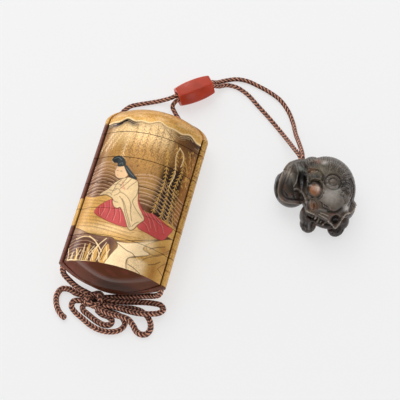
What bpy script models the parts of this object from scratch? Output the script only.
"""Inro: a lens-shaped lacquered case of five nesting boxes and a lid, on one silk cord
with a faceted bead, a carved lion-dog toggle and a bow tied under the case.

The case lies on its back.  X runs across it, Y from its foot to its lid and Z up, with the
origin in the middle of the flat that it lies on.  Lengths are in metres.
"""
import math

import bmesh
import bpy
from mathutils import Matrix, Vector

MM = 0.001

# The case's cross-section
HALF_WIDTH = 26.0 * MM      # middle to the outside of a side runner
RUNNER_WIDTH = 2.7 * MM     # outside of a runner to the groove where it meets the front
FACE_RISE = 9.8 * MM        # how far the front stands above its own edges
RUNNER_HALF = 2.9 * MM      # half the thickness of the case at the grooves
GROOVE_WIDTH = 0.5 * MM
GROOVE_DEPTH = 0.5 * MM
FACE_STEPS = 11             # odd, so that the case lies on a flat step
RUNNER_STEPS = 4

# The case along its length
CASE_COUNT = 5
CASE_PITCH = 14.2 * MM      # height of one case, seam to seam
LID_SIDE = 8.6 * MM         # lid's side, seam to shoulder
LID_DOME = 8.5 * MM         # rise of the lid's crown above its shoulder
FOOT_DOME = 8.0 * MM        # fall of the foot below its edge
CROWN_FULLNESS = (4, 1.5)   # how square the crown's shoulder is; (2, 1) is a plain pillow
FOOT_FULLNESS = (2, 1)
DOME_RINGS = 4
SEAM_GAP = 0.3 * MM

# Walls and the nesting rims
WALL = 2.2 * MM             # front or back wall where a case opens
RIM_WALL = 1.0 * MM         # the standing rim that the next tier closes over
RIM_HEIGHT = 3.5 * MM
RIM_CLEARANCE = 0.3 * MM
FLOOR = 1.6 * MM
CROWN_WALL = 2.4 * MM       # thickness of the lid's crown and of the foot
INSIDE_STEPS = 5

# The silk cord and the runners' bores
CORD_TAUT = 2.1 * MM        # diameter where it is drawn up
CORD_SLACK = 2.5 * MM       # diameter in the bow
BORE_HALF = 1.55 * MM
BORE_WALL = 0.65 * MM       # from a bore to the outside of its runner
BORE_SKIN = 0.05 * MM       # from a bore to the socket beside it
BORE_STEPS = 8
TOUCH_GAP = 0.3 * MM

# The bead
BEAD_LENGTH = 18.6 * MM
BEAD_MIDDLE = 11.4 * MM     # across the flats
BEAD_END = 9.2 * MM
BEAD_CHAMFER = 0.8 * MM
BEAD_SIDES = 6
BEAD_X = 10.75 * MM
BEAD_Y = 71.95 * MM
BEAD_TURN = math.radians(38.9)
BEAD_BORE = 5.6 * MM

# The knot of the bow
KNOT_AT = (-5.6 * MM, -49.4 * MM)
KNOT_HALF = (6.2 * MM, 4.9 * MM, 3.3 * MM)

# The toggle, in its own frame: U to its right, V away over its back, W up
TOGGLE_AT = (83.3 * MM, 25.3 * MM)
TOGGLE_TURN = math.radians(14.4)
TOGGLE_BORE = 5.8 * MM

# Sizes that follow from the ones above
FACE_HALF = HALF_WIDTH - RUNNER_WIDTH
BORE_X = HALF_WIDTH - BORE_WALL - BORE_HALF
# middle to the end wall of a case's inside
INSIDE_HALF = BORE_X - BORE_HALF - BORE_SKIN - RIM_CLEARANCE - RIM_WALL
FACE_RADIUS = (FACE_HALF ** 2 + FACE_RISE ** 2) / (2 * FACE_RISE)
FACE_CENTRE = RUNNER_HALF + FACE_RISE - FACE_RADIUS
FACE_ANGLE = math.asin(FACE_HALF / FACE_RADIUS)
BODY_LENGTH = CASE_COUNT * CASE_PITCH + LID_SIDE
FOOT_Y = -BODY_LENGTH / 2
SHOULDER_Y = BODY_LENGTH / 2
# the lowest step of the back is a flat chord of the curve
CENTRE_Z = FACE_CENTRE + FACE_RADIUS * math.cos(FACE_ANGLE / FACE_STEPS)


def clear_scene():
    for old in list(bpy.data.objects):
        bpy.data.objects.remove(old, do_unlink=True)


def new_collection(name):
    group = bpy.data.collections.new(name)
    bpy.context.scene.collection.children.link(group)
    return group


def material(name, colour, roughness, metallic=0.0):
    mat = bpy.data.materials.new(name)
    mat.use_nodes = True
    shader = mat.node_tree.nodes["Principled BSDF"]
    shader.inputs["Base Color"].default_value = (*colour, 1.0)
    shader.inputs["Roughness"].default_value = roughness
    shader.inputs["Metallic"].default_value = metallic
    return mat


def add_object(name, mesh, group, mat=None):
    obj = bpy.data.objects.new(name, mesh)
    group.objects.link(obj)
    if mat is not None:
        obj.data.materials.clear()
        obj.data.materials.append(mat)
    return obj


# Outlines in the plane of the cross-section, as (across, up) from its middle

def arc(radius, centre, half_angle, steps):
    """Points of a face from its left edge to its right one."""
    points = []
    for i in range(steps + 1):
        angle = half_angle * (2 * i / steps - 1)
        points.append((radius * math.sin(angle), centre + radius * math.cos(angle)))
    return points


def runner_side():
    """The right-hand runner from the front groove round to the back groove."""
    start = FACE_HALF + GROOVE_WIDTH * 0.5
    points = [(FACE_HALF, RUNNER_HALF - GROOVE_DEPTH)]
    for i in range(RUNNER_STEPS + 1):
        angle = math.radians(78) * (1 - 2 * i / RUNNER_STEPS)
        points.append((start + (HALF_WIDTH - start) * math.cos(angle),
                       RUNNER_HALF * math.sin(angle) / math.sin(math.radians(78))))
    points.append((FACE_HALF, GROOVE_DEPTH - RUNNER_HALF))
    return points


def case_outline():
    face_angle = FACE_ANGLE * 0.985
    top = arc(FACE_RADIUS, FACE_CENTRE, face_angle, FACE_STEPS)
    right = runner_side()
    bottom = [(x, -z) for x, z in reversed(top)]
    left = [(-x, -z) for x, z in right]
    return top + right + bottom + left


def inside_outline(inset, half):
    """A plain lens set in from the front and back, cut off square at its ends."""
    radius = FACE_RADIUS - inset
    top = arc(radius, FACE_CENTRE, math.asin(half / radius), INSIDE_STEPS)
    return top + [(x, -z) for x, z in reversed(top)]


def circle(across, half, steps):
    points = []
    for i in range(steps):
        angle = 2 * math.pi * (i + 0.5) / steps
        points.append((across + half * math.cos(angle), half * math.sin(angle)))
    return points


def prism(name, outlines, start, end, group, mat=None):
    """A bar of the given outline between two places along Y; later outlines are bores."""
    curve = bpy.data.curves.new(name, "CURVE")
    curve.dimensions = "2D"
    curve.fill_mode = "BOTH"
    curve.extrude = (end - start) / 2
    for outline in outlines:
        spline = curve.splines.new("POLY")
        spline.points.add(len(outline) - 1)
        for point, (x, z) in zip(spline.points, outline):
            point.co = (x, z, 0, 1)
        spline.use_cyclic_u = True
    guide = bpy.data.objects.new(name + "_outline", curve)
    group.objects.link(guide)
    guide.matrix_world = (Matrix.Translation((0, (start + end) / 2, CENTRE_Z))
                          @ Matrix.Rotation(math.radians(90), 4, "X"))
    bpy.context.view_layer.update()
    solid = bpy.data.meshes.new_from_object(guide.evaluated_get(
        bpy.context.evaluated_depsgraph_get()))
    solid.transform(guide.matrix_world)
    bpy.data.objects.remove(guide, do_unlink=True)
    bm = bmesh.new()
    bm.from_mesh(solid)
    bmesh.ops.remove_doubles(bm, verts=bm.verts, dist=0.00001)
    bmesh.ops.recalc_face_normals(bm, faces=bm.faces)
    bm.to_mesh(solid)
    bm.free()
    return add_object(name, solid, group, mat)


def add_dome(obj, edge_y, rise, fullness):
    """Swaps a bar's flat end for a pillow: rings drawn in towards the middle."""
    power, root = fullness
    bm = bmesh.new()
    bm.from_mesh(obj.data)
    end = [f for f in bm.faces if all(abs(v.co.y - edge_y) < 0.00001 for v in f.verts)]
    bmesh.ops.delete(bm, geom=end, context="FACES_ONLY")
    loop = [e for e in bm.edges if e.is_boundary]
    previous = 1.0
    for i in range(1, DOME_RINGS + 1):
        size = math.cos(math.pi / 2 * i / (DOME_RINGS + 0.5))
        made = bmesh.ops.extrude_edge_only(bm, edges=loop)["geom"]
        ring = [g for g in made if isinstance(g, bmesh.types.BMVert)]
        loop = [g for g in made if isinstance(g, bmesh.types.BMEdge)]
        for vert in ring:
            vert.co.x *= size / previous
            vert.co.z = CENTRE_Z + (vert.co.z - CENTRE_Z) * size / previous
            vert.co.y = edge_y + rise * (1 - size ** power) ** (1 / root)
        previous = size
        loop = [e for e in loop if all(abs(v.co.y - ring[0].co.y) < 0.00001 for v in e.verts)]
    bmesh.ops.edgeloop_fill(bm, edges=loop)
    bmesh.ops.recalc_face_normals(bm, faces=bm.faces)
    bm.to_mesh(obj.data)
    bm.free()


def boolean(obj, tool, operation):
    step = obj.modifiers.new(operation.lower(), "BOOLEAN")
    step.operation = operation
    step.solver = "EXACT"
    step.object = tool
    tool.hide_render = True
    tool.display_type = "WIRE"


# The case

def seam_y(index):
    """The seam above case number index, counted from the lid; 0 is under the lid."""
    return SHOULDER_Y - LID_SIDE - index * CASE_PITCH


def runner_bores(name, start, end, tools):
    return [prism(f"{name}_bore_{side}", [circle(across, BORE_HALF, BORE_STEPS)],
                  start, end, tools)
            for side, across in (("left", -BORE_X), ("right", BORE_X))]


def cut_socket(body, edge, tools):
    """The recess under a tier that the rim below it stands in."""
    outline = inside_outline(WALL - RIM_WALL - RIM_CLEARANCE,
                             INSIDE_HALF + RIM_WALL + RIM_CLEARANCE)
    depth = RIM_HEIGHT + RIM_CLEARANCE
    socket = prism(body.name + "_socket", [outline], edge - 0.002, edge + depth, tools)
    boolean(body, socket, "DIFFERENCE")


def add_rim(body, top, tools):
    outline = inside_outline(WALL - RIM_WALL, INSIDE_HALF + RIM_WALL)
    rim = prism(body.name + "_rim", [outline], top - 0.003, top + RIM_HEIGHT, tools)
    boolean(body, rim, "UNION")


def cut_inside(body, floor, top, tools, hollow_foot=0.0):
    inside = prism(body.name + "_inside", [inside_outline(WALL, INSIDE_HALF)],
                   floor, top + RIM_HEIGHT + 0.002, tools)
    if hollow_foot:
        add_dome(inside, floor, -hollow_foot, FOOT_FULLNESS)
    boolean(body, inside, "DIFFERENCE")


def build_lid(group, tools, mat):
    bottom = seam_y(0) + SEAM_GAP / 2
    body = prism("lid", [case_outline()], bottom, SHOULDER_Y, group, mat)
    add_dome(body, SHOULDER_Y, LID_DOME, CROWN_FULLNESS)
    cut_socket(body, bottom, tools)
    ceiling = SHOULDER_Y - CROWN_WALL
    inside = prism("lid_inside", [inside_outline(WALL, INSIDE_HALF)],
                   bottom - 0.002, ceiling, tools)
    add_dome(inside, ceiling, LID_DOME - CROWN_WALL * 0.5, CROWN_FULLNESS)
    boolean(body, inside, "DIFFERENCE")
    for bore in runner_bores("lid", bottom - 0.002, SHOULDER_Y + LID_DOME, tools):
        boolean(body, bore, "DIFFERENCE")
    return body


def build_case(index, group, tools, mat):
    top = seam_y(index - 1) - SEAM_GAP / 2
    last = index == CASE_COUNT
    bottom = FOOT_Y if last else seam_y(index) + SEAM_GAP / 2
    body = prism(f"case_{index}", [case_outline()], bottom, top, group, mat)
    if last:
        add_dome(body, FOOT_Y, -FOOT_DOME, FOOT_FULLNESS)
    add_rim(body, top, tools)
    if last:
        cut_inside(body, FOOT_Y + CROWN_WALL, top, tools, FOOT_DOME - CROWN_WALL * 0.5)
    else:
        floor = bottom + RIM_HEIGHT + RIM_CLEARANCE + FLOOR
        cut_inside(body, floor, top, tools)
        cut_socket(body, bottom, tools)
    for bore in runner_bores(body.name, bottom - FOOT_DOME, top + 0.002, tools):
        boolean(body, bore, "DIFFERENCE")
    return body


# The bead

def build_bead(group, mat):
    bm = bmesh.new()
    corner = 1 / math.cos(math.pi / BEAD_SIDES)
    half = BEAD_LENGTH / 2
    rows = []
    for i in range(7):
        along = 1 - 2 * i / 6
        across = BEAD_END + (BEAD_MIDDLE - BEAD_END) * (1 - abs(along) ** 2.2)
        rows.append((across / 2, along * (half - BEAD_CHAMFER)))
    profile = [(BEAD_BORE / 2, half), (BEAD_END / 2 - BEAD_CHAMFER, half)]
    profile += rows
    profile += [(BEAD_END / 2 - BEAD_CHAMFER, -half), (BEAD_BORE / 2, -half)]
    verts = [bm.verts.new((across * corner, 0, up)) for across, up in profile]
    for a, b in zip(verts, verts[1:] + verts[:1]):
        bm.edges.new((a, b))
    mesh = bpy.data.meshes.new("bead")
    bm.to_mesh(mesh)
    bm.free()
    bead = add_object("bead", mesh, group, mat)
    turn = bead.modifiers.new("turned", "SCREW")
    turn.steps = BEAD_SIDES
    turn.render_steps = BEAD_SIDES
    turn.use_merge_vertices = True
    turn.merge_threshold = 0.00001
    turn.use_smooth_shade = False
    bead.matrix_world = (Matrix.Translation((BEAD_X, BEAD_Y, BEAD_MIDDLE / 2))
                         @ Matrix.Rotation(BEAD_TURN, 4, "Z")
                         @ Matrix.Rotation(math.radians(90), 4, "Y")
                         @ Matrix.Rotation(math.pi / BEAD_SIDES, 4, "Z"))
    return bead


def along_bead(along, across, up=0.0):
    """A point of the bead's bore in the object's frame."""
    direction = Vector((math.cos(BEAD_TURN), math.sin(BEAD_TURN), 0))
    side = Vector((-math.sin(BEAD_TURN), math.cos(BEAD_TURN), 0))
    centre = Vector((BEAD_X, BEAD_Y, BEAD_MIDDLE / 2 + up))
    return centre + direction * along + side * across


# The cord

def millimetres(*points):
    return [Vector(p) * MM for p in points]


def smooth(points, per_span=24):
    """A finely sampled curve through the points, kept even where they crowd."""
    ends = [2 * points[0] - points[1]] + list(points) + [2 * points[-1] - points[-2]]
    fine = []
    for a, b, c, d in zip(ends, ends[1:], ends[2:], ends[3:]):
        t1 = math.sqrt((b - a).length)
        t2 = t1 + math.sqrt((c - b).length)
        t3 = t2 + math.sqrt((d - c).length)
        for i in range(per_span):
            t = t1 + (t2 - t1) * i / per_span
            ab = a * ((t1 - t) / t1) + b * (t / t1)
            bc = b * ((t2 - t) / (t2 - t1)) + c * ((t - t1) / (t2 - t1))
            cd = c * ((t3 - t) / (t3 - t2)) + d * ((t - t2) / (t3 - t2))
            abc = ab * ((t2 - t) / t2) + bc * (t / t2)
            bcd = bc * ((t3 - t) / (t3 - t1)) + cd * ((t - t1) / (t3 - t1))
            fine.append(abc * ((t2 - t) / (t2 - t1)) + bcd * ((t - t1) / (t2 - t1)))
    fine.append(points[-1].copy())
    return fine


def clear_of_knot(fine, radius):
    """The part of a route outside the knot, which the cord ends just short of."""
    kept = []
    for point in fine:
        share = 0.0
        for value, middle, half in zip(point, (*KNOT_AT, KNOT_HALF[2]), KNOT_HALF):
            share += ((value - middle) / (half + radius + TOUCH_GAP)) ** 2
        if share > 1.0:
            kept.append(point)
    return kept


def evenly(fine, spacing):
    lengths = [0.0]
    for a, b in zip(fine, fine[1:]):
        lengths.append(lengths[-1] + (b - a).length)
    count = max(2, round(lengths[-1] / spacing))
    points = []
    place = 0
    for i in range(count + 1):
        target = lengths[-1] * i / count
        while place < len(fine) - 2 and lengths[place + 1] < target:
            place += 1
        step = lengths[place + 1] - lengths[place]
        points.append(fine[place].lerp(fine[place + 1], (target - lengths[place]) / step))
    return points


def build_cord(name, route, diameter, spacing, group, mat, at_knot=False):
    fine = smooth(route)
    if at_knot:
        fine = clear_of_knot(fine, diameter / 2)
    points = evenly(fine, spacing)
    curve = bpy.data.curves.new(name, "CURVE")
    curve.dimensions = "3D"
    curve.bevel_depth = diameter / 2
    curve.bevel_resolution = 2
    curve.use_fill_caps = True
    spline = curve.splines.new("POLY")
    spline.points.add(len(points) - 1)
    for target, point in zip(spline.points, points):
        target.co = (*point, 1)
    cord = bpy.data.objects.new(name, curve)
    cord.data.materials.append(mat)
    group.objects.link(cord)
    return cord


STRAND_APART = (CORD_TAUT + TOUCH_GAP) / 2
BEAD_OUT = BEAD_LENGTH / 2
MIDDLE_Z = CENTRE_Z / MM
MOUTH_Y = SHOULDER_Y / MM - 0.6
FOOT_MOUTH_Y = FOOT_Y / MM + 0.6
BORE_AT = BORE_X / MM

LEFT_ROUTE = (
    millimetres((-BORE_AT, MOUTH_Y, MIDDLE_Z), (-BORE_AT, MOUTH_Y + 5.2, MIDDLE_Z),
                (-23.9, 46.3, 11.7), (-23.8, 47.7, 9.6), (-23.4, 49.1, 6.6), (-22.8, 51.0, 4.0),
                (-21.8, 53.6, 2.0), (-19.6, 56.9, 1.2), (-15.0, 59.9, 1.1),
                (-10.0, 62.2, 1.1), (-5.4, 64.2, 1.5))
    + [along_bead(-BEAD_OUT - 2.8 * MM, STRAND_APART * 1.6, -1.6 * MM),
       along_bead(-BEAD_OUT, STRAND_APART), along_bead(0, STRAND_APART),
       along_bead(BEAD_OUT, STRAND_APART),
       along_bead(BEAD_OUT + 4.0 * MM, STRAND_APART * 1.1, -2.8 * MM)]
    + millimetres((24.7, 84.8, 1.3), (29.5, 86.8, 1.1), (35.2, 87.0, 1.1), (40.8, 85.6, 1.1),
                  (47.1, 83.5, 1.1), (53.6, 80.2, 1.1), (59.0, 74.9, 1.1), (63.0, 68.2, 1.9),
                  (66.4, 60.7, 4.8), (70.2, 52.7, 9.2), (73.4, 46.2, 12.6),
                  (74.4, 43.0, 13.3), (75.1, 40.4, 13.4))
)

RIGHT_ROUTE = (
    millimetres((BORE_AT, MOUTH_Y, MIDDLE_Z), (BORE_AT, MOUTH_Y + 5.2, MIDDLE_Z),
                (23.8, 46.3, 11.7), (23.2, 47.6, 9.4), (21.8, 49.0, 6.8), (19.8, 50.4, 4.6),
                (17.2, 51.8, 2.8), (14.2, 53.6, 1.6), (11.0, 55.6, 1.1), (8.0, 57.6, 1.1),
                (5.2, 59.3, 1.1), (3.0, 60.4, 1.4), (1.7, 62.2, 2.6))
    + [along_bead(-BEAD_OUT - 1.2 * MM, -STRAND_APART * 1.1, -0.5 * MM),
       along_bead(-BEAD_OUT + 2.0 * MM, -STRAND_APART), along_bead(0, -STRAND_APART),
       along_bead(BEAD_OUT, -STRAND_APART),
       along_bead(BEAD_OUT + 4.0 * MM, -STRAND_APART * 1.1, -2.8 * MM)]
    + millimetres((25.6, 82.0, 1.3), (30.7, 82.0, 1.1), (37.1, 79.1, 1.1), (43.6, 74.0, 1.1),
                  (50.6, 68.5, 1.1), (57.7, 62.2, 1.6), (63.6, 55.6, 4.6), (68.2, 49.2, 9.2),
                  (70.9, 45.0, 12.5), (72.0, 42.4, 13.3), (72.7, 39.8, 13.4))
)

FOOT_LEFT_ROUTE = millimetres(
    (-BORE_AT, FOOT_MOUTH_Y, MIDDLE_Z), (-BORE_AT, FOOT_MOUTH_Y - 2.3, MIDDLE_Z),
    (-23.8, -43.8, 10.4), (-22.8, -44.3, 7.2), (-20.4, -44.7, 5.0), (-16.6, -45.6, 4.3),
    (-12.2, -46.9, 4.4), (-8.0, -48.4, 4.4))
FOOT_RIGHT_ROUTE = millimetres(
    (BORE_AT, FOOT_MOUTH_Y, MIDDLE_Z), (BORE_AT, FOOT_MOUTH_Y - 2.3, MIDDLE_Z),
    (23.6, -43.7, 10.4), (22.0, -43.6, 7.4), (19.0, -43.0, 5.2), (15.0, -42.8, 4.0),
    (10.5, -43.3, 3.2), (5.5, -44.4, 3.0), (1.2, -45.8, 3.1), (-3.0, -47.7, 3.2))
TAIL_ROUTE = millimetres(
    (-10.0, -47.8, 1.4), (-15.8, -48.0, 1.3), (-19.8, -46.8, 1.3), (-23.3, -47.6, 1.3),
    (-24.5, -51.0, 1.3), (-23.6, -55.0, 1.3), (-21.5, -58.4, 1.3), (-18.8, -60.6, 1.3),
    (-16.9, -61.4, 1.3))
LEFT_LOOP_ROUTE = millimetres(
    (-8.5, -49.8, 1.6), (-12.8, -50.9, 1.3), (-16.0, -52.2, 1.3), (-16.2, -54.8, 1.3),
    (-13.6, -57.3, 1.3), (-9.5, -59.5, 1.3), (-5.3, -61.3, 1.3), (-0.6, -62.3, 1.3),
    (4.3, -62.0, 1.3), (8.6, -60.4, 1.3), (10.6, -57.4, 1.3), (8.6, -54.6, 1.3),
    (5.0, -53.4, 1.3), (2.2, -53.2, 1.3), (-3.0, -51.6, 1.5))
INNER_LOOP_ROUTE = millimetres(
    (-8.6, -51.4, 1.6), (-11.6, -53.7, 1.3), (-9.6, -55.8, 1.3), (-6.0, -57.4, 1.3),
    (-2.0, -59.1, 1.3), (1.8, -59.2, 1.3), (4.0, -57.8, 1.3), (2.6, -56.2, 1.3),
    (-1.2, -55.8, 1.3), (-4.6, -53.6, 1.5))
RIGHT_LOOP_ROUTE = millimetres(
    (-3.5, -48.8, 4.0), (1.6, -48.8, 4.0), (6.4, -47.4, 2.7), (11.1, -45.8, 1.4),
    (16.0, -44.6, 1.3), (20.6, -43.9, 1.3), (24.4, -44.0, 1.3), (26.2, -45.9, 1.5),
    (24.8, -48.6, 2.9), (20.8, -50.6, 4.1), (16.5, -51.6, 4.3), (12.1, -51.8, 4.2),
    (7.5, -51.6, 4.4), (3.0, -51.2, 4.8), (-2.0, -50.2, 5.0))
LOW_LOOP_ROUTE = millimetres(
    (-6.4, -51.0, 4.4), (-3.6, -53.2, 4.2), (-0.2, -54.6, 4.2), (4.0, -55.2, 4.2),
    (8.2, -55.3, 4.5), (12.0, -55.9, 4.5), (14.8, -57.4, 2.6), (16.8, -58.8, 1.3),
    (18.9, -59.5, 1.3), (21.4, -59.0, 1.3), (22.7, -56.9, 1.3), (22.2, -54.2, 1.3),
    (20.2, -51.4, 1.3), (16.4, -49.2, 1.3), (11.8, -48.9, 1.3), (7.4, -49.7, 1.3),
    (3.6, -50.2, 1.3), (-1.0, -49.8, 1.6))


def build_knot(group, mat):
    """The tied heart of the bow, as one closed lump that the loops run into."""
    bm = bmesh.new()
    bmesh.ops.create_uvsphere(bm, u_segments=12, v_segments=7, radius=1.0)
    mesh = bpy.data.meshes.new("cord_knot")
    bm.to_mesh(mesh)
    bm.free()
    mesh.transform(Matrix.Translation((*KNOT_AT, KNOT_HALF[2] + 0.02 * MM))
                   @ Matrix.Diagonal((*KNOT_HALF, 1)))
    mesh.shade_smooth()
    return add_object("cord_knot", mesh, group, mat)


def build_cords(group, mat):
    slack = CORD_SLACK
    taut = CORD_TAUT
    build_cord("cord_left", LEFT_ROUTE, taut, 6.7 * MM, group, mat)
    build_cord("cord_right", RIGHT_ROUTE, taut, 6.5 * MM, group, mat)
    for side, across in (("left", -BORE_X), ("right", BORE_X)):
        hidden = [Vector((across, FOOT_Y + 1.1 * MM, CENTRE_Z)),
                  Vector((across, SHOULDER_Y - 1.1 * MM, CENTRE_Z))]
        build_cord(f"cord_in_{side}_runner", hidden, taut, BODY_LENGTH / 2, group, mat)
    for name, route in (("cord_foot_left", FOOT_LEFT_ROUTE), ("cord_foot_right", FOOT_RIGHT_ROUTE)):
        build_cord(name, route, taut, 3.4 * MM, group, mat, at_knot=True)
    for name, route, spacing in (
            ("cord_tail", TAIL_ROUTE, 4.6 * MM),
            ("cord_left_loop", LEFT_LOOP_ROUTE, 4.4 * MM),
            ("cord_inner_loop", INNER_LOOP_ROUTE, 4.2 * MM),
            ("cord_right_loop", RIGHT_LOOP_ROUTE, 4.6 * MM),
            ("cord_low_loop", LOW_LOOP_ROUTE, 4.6 * MM)):
        build_cord(name, route, slack, spacing, group, mat, at_knot=True)
    build_knot(group, mat)


# The toggle: rounded masses and carved lines in its own frame, in millimetres

TOGGLE_MASSES = {
    # name: (middle, half sizes, lean about W in degrees, steps round, steps up)
    "mane": ((5.4, 4.6, 11.4), (14.0, 16.4, 11.6), 0, 18, 11),
    "head": ((5.0, -4.4, 13.8), (11.3, 9.6, 10.6), 0, 16, 10),
    "muzzle": ((-0.8, -8.0, 15.4), (5.2, 4.8, 5.8), 0, 12, 9),
    "jaw": ((4.2, -10.0, 8.6), (8.4, 5.4, 4.8), -18, 12, 7),
    "left_paw": ((-3.8, -10.5, 3.7), (4.2, 5.0, 4.0), 0, 10, 7),
    "left_leg": ((-4.3, -7.2, 7.4), (3.1, 3.8, 7.6), 0, 10, 7),
    "right_paw": ((9.9, -12.1, 3.4), (4.3, 5.5, 3.8), -20, 10, 7),
    "right_leg": ((15.5, -4.6, 7.1), (3.5, 5.0, 7.4), -25, 10, 7),
    "haunch": ((-11.6, 5.7, 9.0), (8.4, 9.5, 9.2), 0, 14, 9),
    "tail": ((-16.0, 6.2, 8.0), (3.6, 7.4, 7.2), 6, 10, 7),
    "back": ((-5.9, 12.4, 10.8), (9.8, 7.4, 8.6), 0, 12, 8),
    "eye": ((-1.8, -2.6, 20.8), (2.8, 2.8, 2.7), 0, 10, 7),
    "ear": ((-0.8, 4.4, 21.2), (3.0, 3.4, 2.0), 20, 10, 6),
    "side_curl": ((12.6, -1.6, 19.2), (3.3, 3.3, 2.5), 0, 10, 6),
    "cheek_lip": ((11.8, -9.6, 14.0), (3.6, 3.0, 2.4), -35, 10, 6),
}
CURL_AT = (6.9, 1.9, 22.4)
CURL_HALF = 3.7
LINE_HALF = 0.6
# raised ribs, each through a few points of the surface
TOGGLE_RIBS = {
    "haunch_rib": ((-9.1, 13.1, 18.8), (-13.8, 12.0, 15.8), (-17.3, 7.8, 15.3),
                   (-18.3, 3.6, 14.0), (-16.9, -0.6, 12.5), (-13.1, -3.2, 11.4)),
    "haunch_fold": ((-7.7, 9.8, 18.6), (-8.5, 5.5, 17.4), (-10.4, 1.9, 17.2)),
    "thigh_fold": ((-11.8, 0.6, 16.7), (-8.9, -0.7, 15.0), (-7.5, -2.4, 10.8)),
    "lip": ((-5.2, -9.8, 16.8), (-2.7, -12.2, 16.8), (2.2, -13.6, 14.3), (6.3, -15.4, 10.0),
            (9.1, -15.2, 7.0), (11.2, -13.1, 10.3), (13.2, -11.4, 13.6), (16.1, -7.4, 12.6)),
    "brow": ((-4.9, 1.0, 18.9), (-3.5, 2.5, 20.3), (-1.4, 2.2, 22.4), (0.9, 1.2, 22.4),
             (1.9, -2.0, 23.5), (1.1, -5.7, 23.3)),
}
# the open mouth, from one corner to the other, and how far it is open
MOUTH_CORNERS = ((-5.4, -12.4, 14.2), (8.4, -17.4, 6.6))
MOUTH_OPEN = 1.7
MOUTH_DEEP = 4.6


def toggle_matrix():
    return (Matrix.Translation((*TOGGLE_AT, 0)) @ Matrix.Rotation(TOGGLE_TURN, 4, "Z")
            @ Matrix.Diagonal((MM, MM, MM, 1)))


def toggle_mass(name, group, mat=None):
    middle, half, lean, around, up = TOGGLE_MASSES[name]
    bm = bmesh.new()
    bmesh.ops.create_uvsphere(bm, u_segments=around, v_segments=up, radius=1.0)
    mesh = bpy.data.meshes.new("netsuke_" + name)
    bm.to_mesh(mesh)
    bm.free()
    mesh.transform(toggle_matrix() @ Matrix.Translation(middle)
                   @ Matrix.Rotation(math.radians(lean), 4, "Z") @ Matrix.Diagonal((*half, 1)))
    mesh.shade_smooth()
    return add_object("netsuke_" + name, mesh, group, mat)


def toggle_tube(name, points, half, tools, closed=False):
    """A round rib or a round groove along points of the toggle."""
    curve = bpy.data.curves.new("netsuke_" + name, "CURVE")
    curve.dimensions = "3D"
    curve.bevel_depth = half
    curve.bevel_resolution = 1
    curve.use_fill_caps = True
    spline = curve.splines.new("POLY")
    spline.points.add(len(points) - 1)
    for target, point in zip(spline.points, points):
        target.co = (*point, 1)
    spline.use_cyclic_u = closed
    guide = bpy.data.objects.new("guide", curve)
    tools.objects.link(guide)
    bpy.context.view_layer.update()
    mesh = bpy.data.meshes.new_from_object(guide.evaluated_get(
        bpy.context.evaluated_depsgraph_get()))
    bpy.data.objects.remove(guide, do_unlink=True)
    bm = bmesh.new()
    bm.from_mesh(mesh)
    bmesh.ops.remove_doubles(bm, verts=bm.verts, dist=0.001)
    bmesh.ops.recalc_face_normals(bm, faces=bm.faces)
    bm.to_mesh(mesh)
    bm.free()
    mesh.transform(toggle_matrix())
    return add_object("netsuke_" + name, mesh, tools)


def toggle_line(points, spacing):
    return evenly(smooth([Vector(p) for p in points], 8), spacing)


def toggle_mouth(tools):
    """A flat lens turned to run from one corner of the mouth to the other."""
    left, right = (Vector(corner) for corner in MOUTH_CORNERS)
    along = (right - left).normalized()
    inward = along.cross(Vector((0.35, -0.55, 0.75))).normalized()
    inward = along.cross(inward).normalized()
    thick = along.cross(inward)
    turn = Matrix((along, inward, thick)).transposed().to_4x4()
    bm = bmesh.new()
    bmesh.ops.create_uvsphere(bm, u_segments=14, v_segments=6, radius=1.0)
    mesh = bpy.data.meshes.new("netsuke_mouth")
    bm.to_mesh(mesh)
    bm.free()
    mesh.transform(toggle_matrix() @ Matrix.Translation((left + right) / 2) @ turn
                   @ Matrix.Diagonal(((right - left).length / 2, MOUTH_OPEN, MOUTH_DEEP, 1)))
    return add_object("netsuke_mouth", mesh, tools)


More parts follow.
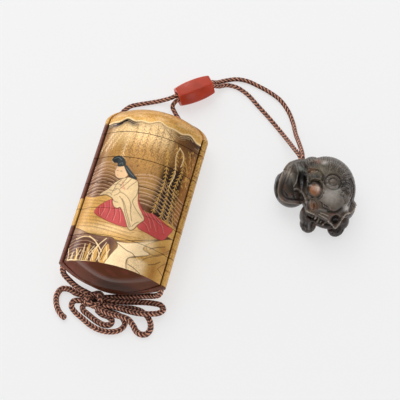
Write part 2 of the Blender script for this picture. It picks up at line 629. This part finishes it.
def toggle_bore(tools):
    """The hole high on the back that the doubled cord goes into."""
    bm = bmesh.new()
    bmesh.ops.create_cone(bm, cap_ends=True, segments=10, radius1=TOGGLE_BORE / 2,
                          radius2=TOGGLE_BORE / 2, depth=9 * MM)
    mesh = bpy.data.meshes.new("netsuke_bore")
    bm.to_mesh(mesh)
    bm.free()
    mouth = toggle_matrix() @ Vector((-5.6, 18.6, 13.3))
    mesh.transform(Matrix.Translation(mouth) @ Matrix.Rotation(TOGGLE_TURN, 4, "Z")
                   @ Matrix.Rotation(math.radians(90), 4, "X"))
    return add_object("netsuke_bore", mesh, tools)


def toggle_floor(tools):
    """Everything under the surface it lies on, which leaves small flats on the underside."""
    bm = bmesh.new()
    bmesh.ops.create_cube(bm, size=0.08)
    mesh = bpy.data.meshes.new("netsuke_floor")
    bm.to_mesh(mesh)
    bm.free()
    mesh.transform(Matrix.Translation((*TOGGLE_AT, -0.04)))
    return add_object("netsuke_floor", mesh, tools)


def build_toggle(group, tools, mat):
    body = toggle_mass("mane", group, mat)
    body.name = "netsuke"
    for name in TOGGLE_MASSES:
        if name != "mane":
            boolean(body, toggle_mass(name, tools), "UNION")
    boolean(body, toggle_mouth(tools), "DIFFERENCE")
    for name, points in TOGGLE_RIBS.items():
        rib = toggle_tube(name, toggle_line(points, 3.2), LINE_HALF, tools)
        boolean(body, rib, "UNION")
    ring = []
    for i in range(12):
        angle = 2 * math.pi * i / 12
        ring.append(Vector(CURL_AT) + Vector((CURL_HALF * math.cos(angle),
                                              CURL_HALF * math.sin(angle),
                                              -0.25 * math.cos(angle))))
    boolean(body, toggle_tube("curl", ring, LINE_HALF, tools, closed=True), "UNION")
    boolean(body, toggle_bore(tools), "DIFFERENCE")
    boolean(body, toggle_floor(tools), "DIFFERENCE")
    return body


def main():
    clear_scene()
    model = new_collection("inro")
    tools = new_collection("cutters")
    gold = material("gold_lacquer", (0.52, 0.33, 0.12), 0.28, 0.55)
    dark = material("brown_lacquer", (0.10, 0.035, 0.02), 0.15)
    coral = material("coral", (0.45, 0.06, 0.025), 0.3)
    silk = material("braided_silk", (0.16, 0.055, 0.045), 0.8)
    wood = material("dark_wood", (0.045, 0.028, 0.02), 0.3)
    build_lid(model, tools, gold)
    for index in range(1, CASE_COUNT + 1):
        build_case(index, model, tools, dark if index == CASE_COUNT else gold)
    build_bead(model, coral)
    build_cords(model, silk)
    build_toggle(model, tools, wood)


main()
